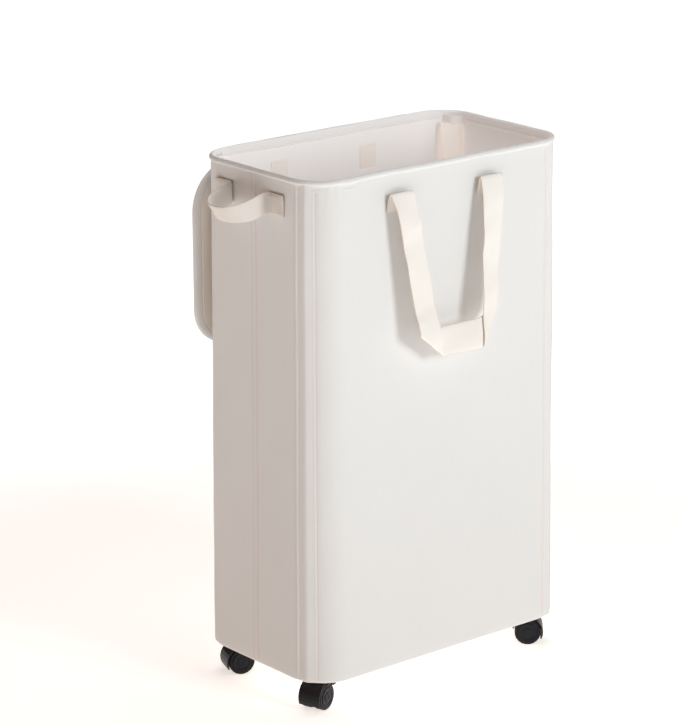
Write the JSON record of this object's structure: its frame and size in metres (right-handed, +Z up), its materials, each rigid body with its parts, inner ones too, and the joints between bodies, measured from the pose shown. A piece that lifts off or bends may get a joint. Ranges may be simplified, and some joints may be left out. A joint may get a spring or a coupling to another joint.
{
  "type": "rolling laundry hamper",
  "caption": "Slim tall fabric laundry hamper on swivel casters, with long carrying straps, side loops and a hinged lid hanging open at the back.",
  "frame": {"origin": "on the floor under the middle of the object's overall box", "axes": "+Z up, +X along the long front, +Y to the back where the lid hangs; the long front faces -Y"},
  "size_m": [0.553, 0.3048, 0.72],
  "materials": {
    "canvas": "woven matte fabric, off-white",
    "lining": "woven matte lining, pale ivory",
    "webbing": "ribbed cotton webbing, cream",
    "board": "fibre board",
    "steel": "zinc plated",
    "rod": "fibre rod",
    "black_plastic": "moulded nylon, satin black"
  },
  "bodies": {
    "tub": {"front_panel": "canvas", "back_panel": "canvas", "left_panel": "canvas", "right_panel": "canvas", "corner_panel_front_left": "canvas", "corner_panel_front_right": "canvas", "corner_panel_back_right": "canvas", "corner_panel_back_left": "canvas", "rim_wire": "steel", "rim_hem": "canvas", "bottom_cover": "canvas", "base_board": "board", "floor_lining": "lining", "support_rod_front_left": "rod", "support_rod_front_right": "rod", "support_rod_back_right": "rod", "support_rod_back_left": "rod", "front_handle_end_left": "webbing", "front_handle_end_right": "webbing", "back_handle": "webbing", "left_handle_end_front": "webbing", "left_handle_end_back": "webbing", "right_handle_end_front": "webbing", "right_handle_end_back": "webbing", "caster_stem_front_left": "steel", "caster_stem_front_right": "steel", "caster_stem_back_right": "steel", "caster_stem_back_left": "steel", "caster_nut_front_left": "steel", "caster_nut_front_right": "steel", "caster_nut_back_right": "steel", "caster_nut_back_left": "steel"},
    "lid": {"lid_top_cover": "canvas", "lid_board": "board", "lid_under_cover": "lining", "lid_binding": "canvas", "lid_hinge_strip": "canvas"},
    "front_handle": {"front_handle_loop": "webbing"},
    "left_handle": {"left_handle_loop": "webbing"},
    "right_handle": {"right_handle_loop": "webbing"},
    "corner_flap_front_left": {"corner_flap_front_left": "lining"},
    "corner_flap_front_right": {"corner_flap_front_right": "lining"},
    "corner_flap_back_right": {"corner_flap_back_right": "lining"},
    "corner_flap_back_left": {"corner_flap_back_left": "lining"},
    "caster_front_left": {"caster_hood_front_left": "black_plastic", "caster_axle_front_left": "steel"},
    "wheel_front_left_a": {"wheel_front_left_a": "black_plastic"},
    "wheel_front_left_b": {"wheel_front_left_b": "black_plastic"},
    "caster_front_right": {"caster_hood_front_right": "black_plastic", "caster_axle_front_right": "steel"},
    "wheel_front_right_a": {"wheel_front_right_a": "black_plastic"},
    "wheel_front_right_b": {"wheel_front_right_b": "black_plastic"},
    "caster_back_right": {"caster_hood_back_right": "black_plastic", "caster_axle_back_right": "steel"},
    "wheel_back_right_a": {"wheel_back_right_a": "black_plastic"},
    "wheel_back_right_b": {"wheel_back_right_b": "black_plastic"},
    "caster_back_left": {"caster_hood_back_left": "black_plastic", "caster_axle_back_left": "steel"},
    "wheel_back_left_a": {"wheel_back_left_a": "black_plastic"},
    "wheel_back_left_b": {"wheel_back_left_b": "black_plastic"}
  },
  "joints": [
    {"name": "lid_hinge", "type": "hinge", "parent": "tub", "child": "lid", "pos_m": [0, 0.15229, 0.7204], "axis": [1, 0, 0], "range_deg": [0, 270]},
    {"name": "front_handle_swing", "type": "hinge", "parent": "tub", "child": "front_handle", "pos_m": [0, -0.11501, 0.69], "axis": [-1, 0, 0], "range_deg": [-6, 160]},
    {"name": "left_handle_swing", "type": "hinge", "parent": "tub", "child": "left_handle", "pos_m": [-0.2228, 0.01419, 0.681], "axis": [0, 1, 0], "range_deg": [-35, 75]},
    {"name": "right_handle_swing", "type": "hinge", "parent": "tub", "child": "right_handle", "pos_m": [0.2228, 0.01419, 0.681], "axis": [0, -1, 0], "range_deg": [-35, 75]},
    {"name": "corner_flap_front_left_lift", "type": "hinge", "parent": "tub", "child": "corner_flap_front_left", "pos_m": [-0.20256, -0.07961, 0.703], "axis": [0.5, -0.866, 0], "range_deg": [0, 100]},
    {"name": "corner_flap_front_right_lift", "type": "hinge", "parent": "tub", "child": "corner_flap_front_right", "pos_m": [0.1888, -0.09337, 0.703], "axis": [0.866, 0.5, 0], "range_deg": [0, 100]},
    {"name": "corner_flap_back_right_lift", "type": "hinge", "parent": "tub", "child": "corner_flap_back_right", "pos_m": [0.20256, 0.10799, 0.703], "axis": [-0.5, 0.866, 0], "range_deg": [0, 100]},
    {"name": "corner_flap_back_left_lift", "type": "hinge", "parent": "tub", "child": "corner_flap_back_left", "pos_m": [-0.1888, 0.12175, 0.703], "axis": [-0.866, -0.5, 0], "range_deg": [0, 100]},
    {"name": "caster_front_left_swivel", "type": "hinge", "parent": "tub", "child": "caster_front_left", "pos_m": [-0.176, -0.06581, 0.0432], "axis": [0, 0, 1], "continuous": true},
    {"name": "wheel_front_left_a_roll", "type": "hinge", "parent": "caster_front_left", "child": "wheel_front_left_a", "pos_m": [-0.18822, -0.07026, 0.018], "axis": [0.342, -0.9397, 0], "continuous": true},
    {"name": "wheel_front_left_b_roll", "type": "hinge", "parent": "caster_front_left", "child": "wheel_front_left_b", "pos_m": [-0.18822, -0.07026, 0.018], "axis": [0.342, -0.9397, 0], "continuous": true},
    {"name": "caster_front_right_swivel", "type": "hinge", "parent": "tub", "child": "caster_front_right", "pos_m": [0.176, -0.06581, 0.0432], "axis": [0, 0, 1], "continuous": true},
    {"name": "wheel_front_right_a_roll", "type": "hinge", "parent": "caster_front_right", "child": "wheel_front_right_a", "pos_m": [0.18566, -0.07451, 0.018], "axis": [0.6691, 0.7431, 0], "continuous": true},
    {"name": "wheel_front_right_b_roll", "type": "hinge", "parent": "caster_front_right", "child": "wheel_front_right_b", "pos_m": [0.18566, -0.07451, 0.018], "axis": [0.6691, 0.7431, 0], "continuous": true},
    {"name": "caster_back_right_swivel", "type": "hinge", "parent": "tub", "child": "caster_back_right", "pos_m": [0.176, 0.09419, 0.0432], "axis": [0, 0, 1], "continuous": true},
    {"name": "wheel_back_right_a_roll", "type": "hinge", "parent": "caster_back_right", "child": "wheel_back_right_a", "pos_m": [0.18778, 0.09968, 0.018], "axis": [-0.4226, 0.9063, 0], "continuous": true},
    {"name": "wheel_back_right_b_roll", "type": "hinge", "parent": "caster_back_right", "child": "wheel_back_right_b", "pos_m": [0.18778, 0.09968, 0.018], "axis": [-0.4226, 0.9063, 0], "continuous": true},
    {"name": "caster_back_left_swivel", "type": "hinge", "parent": "tub", "child": "caster_back_left", "pos_m": [-0.176, 0.09419, 0.0432], "axis": [0, 0, 1], "continuous": true},
    {"name": "wheel_back_left_a_roll", "type": "hinge", "parent": "caster_back_left", "child": "wheel_back_left_a", "pos_m": [-0.18822, 0.09864, 0.018], "axis": [-0.342, -0.9397, 0], "continuous": true},
    {"name": "wheel_back_left_b_roll", "type": "hinge", "parent": "caster_back_left", "child": "wheel_back_left_b", "pos_m": [-0.18822, 0.09864, 0.018], "axis": [-0.342, -0.9397, 0], "continuous": true}
  ]
}
